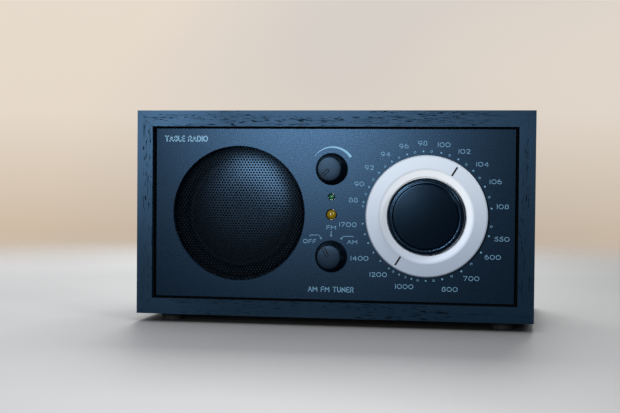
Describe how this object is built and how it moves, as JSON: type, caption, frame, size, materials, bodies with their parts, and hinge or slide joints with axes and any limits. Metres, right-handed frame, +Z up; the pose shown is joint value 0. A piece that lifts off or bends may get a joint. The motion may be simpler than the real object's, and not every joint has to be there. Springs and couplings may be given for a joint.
{
  "type": "table radio",
  "caption": "Wooden-cased table radio with a round perforated speaker grille, two small knobs, indicator lamps and a large geared tuning dial.",
  "frame": {"origin": "under the middle of the radio's whole length and depth, on the surface its four feet stand on", "axes": "+X to the right as seen from the front, the front faces -Y, +Z up"},
  "size_m": [0.2126, 0.1334, 0.1143],
  "materials": {
    "cabinet_veneer": "open-pored ash veneer stained blue-black, satin",
    "blackened_wood": "softwood painted matte black",
    "panel_paint": "fine-textured slate blue, matte",
    "black_plastic": "semi-matte black moulding",
    "grille_metal": "perforated sheet, satin black",
    "dial_silver": "satin silver",
    "steel": "plated steel",
    "brass": "plain brass",
    "ferrite": "dark grey ferrite",
    "cone_paper": "pressed paper",
    "spider_cloth": "resin-dipped cloth",
    "foam_rubber": "soft black",
    "foot_rubber": "matte black",
    "coil_copper": "enamelled copper wire",
    "gear_nylon": "natural nylon",
    "circuit_board": "green solder mask",
    "led_green": "clear green lens",
    "led_amber": "diffused amber lens"
  },
  "bodies": {
    "cabinet": {"cabinet_top": "cabinet_veneer", "cabinet_bottom": "cabinet_veneer", "cabinet_left_side": "cabinet_veneer", "cabinet_right_side": "cabinet_veneer", "left_rail": "blackened_wood", "right_rail": "blackened_wood", "front_panel": "panel_paint", "speaker_grille": "grille_metal", "speaker_basket": "steel", "speaker_magnet": "ferrite", "speaker_surround": "foam_rubber", "speaker_spider": "spider_cloth", "volume_pot": "steel", "volume_nut": "brass", "band_switch": "steel", "band_nut": "brass", "ring_gear": "gear_nylon", "capacitor_frame": "steel", "power_led": "led_green", "tuning_led": "led_amber", "main_board": "circuit_board", "transformer_core": "steel", "transformer_coil": "coil_copper", "ferrite_antenna": "ferrite", "bass_port": "black_plastic", "rear_panel": "black_plastic", "mains_inlet": "black_plastic", "mains_pin_1": "brass", "mains_pin_2": "brass", "dc_socket": "black_plastic", "headphone_socket": "black_plastic", "record_socket": "black_plastic", "aux_socket": "black_plastic", "fm_antenna_socket": "steel", "antenna_switch": "steel", "rear_screw_1": "steel", "rear_screw_2": "steel", "rear_screw_3": "steel", "rear_screw_4": "steel", "foot_1": "foot_rubber", "foot_2": "foot_rubber", "foot_3": "foot_rubber", "foot_4": "foot_rubber"},
    "volume_control": {"volume_knob": "black_plastic", "volume_shaft": "steel"},
    "band_control": {"band_knob": "black_plastic", "band_shaft": "steel"},
    "tuning_control": {"tuning_knob": "black_plastic", "tuning_shaft": "steel", "sun_gear": "brass"},
    "dial": {"dial_ring": "dial_silver", "planet_carrier": "steel", "capacitor_rotor": "brass"},
    "planet_1": {"planet_gear_1": "gear_nylon"},
    "planet_2": {"planet_gear_2": "gear_nylon"},
    "planet_3": {"planet_gear_3": "gear_nylon"},
    "cone": {"speaker_cone": "cone_paper", "dust_cap": "cone_paper", "voice_coil": "coil_copper"},
    "slider": {"antenna_slider": "black_plastic"}
  },
  "joints": [
    {"name": "volume_turn", "type": "hinge", "parent": "cabinet", "child": "volume_control", "pos_m": [0, -0.06008, 0.0834], "axis": [0, 1, 0], "range_deg": [0, 270]},
    {"name": "band_turn", "type": "hinge", "parent": "cabinet", "child": "band_control", "pos_m": [0, -0.06008, 0.0371], "axis": [0, 1, 0], "range_deg": [0, 60]},
    {"name": "tuning_turn", "type": "hinge", "parent": "cabinet", "child": "tuning_control", "pos_m": [0.0504, -0.06008, 0.0591], "axis": [0, 1, 0], "range_deg": [-609, 291]},
    {"name": "dial_turn", "type": "hinge", "parent": "cabinet", "child": "dial", "pos_m": [0.0504, -0.06008, 0.0591], "axis": [0, 1, 0], "range_deg": [-121.8, 58.2]},
    {"name": "planet_1_spin", "type": "hinge", "parent": "dial", "child": "planet_1", "pos_m": [0.0504, -0.04698, 0.0741], "axis": [0, 1, 0], "range_deg": [-155.2, 324.8]},
    {"name": "planet_2_spin", "type": "hinge", "parent": "dial", "child": "planet_2", "pos_m": [0.03741, -0.04698, 0.0516], "axis": [0, 1, 0], "range_deg": [-155.2, 324.8]},
    {"name": "planet_3_spin", "type": "hinge", "parent": "dial", "child": "planet_3", "pos_m": [0.06339, -0.04698, 0.0516], "axis": [0, 1, 0], "range_deg": [-155.2, 324.8]},
    {"name": "cone_travel", "type": "slide", "parent": "cabinet", "child": "cone", "axis": [0, -1, 0], "range_m": [-0.0012, 0.0012], "stiffness_N_per_m": 1000, "deforming": ["speaker_surround", "speaker_spider"]},
    {"name": "antenna_slide", "type": "slide", "parent": "cabinet", "child": "slider", "axis": [1, 0, 0], "range_m": [0, 0.0042]}
  ],
  "couplings": [
    {"joint": "dial_turn", "follows": "tuning_turn", "ratio": 0.2},
    {"joint": "planet_1_spin", "follows": "tuning_turn", "ratio": -0.53333},
    {"joint": "planet_2_spin", "follows": "tuning_turn", "ratio": -0.53333},
    {"joint": "planet_3_spin", "follows": "tuning_turn", "ratio": -0.53333}
  ]
}
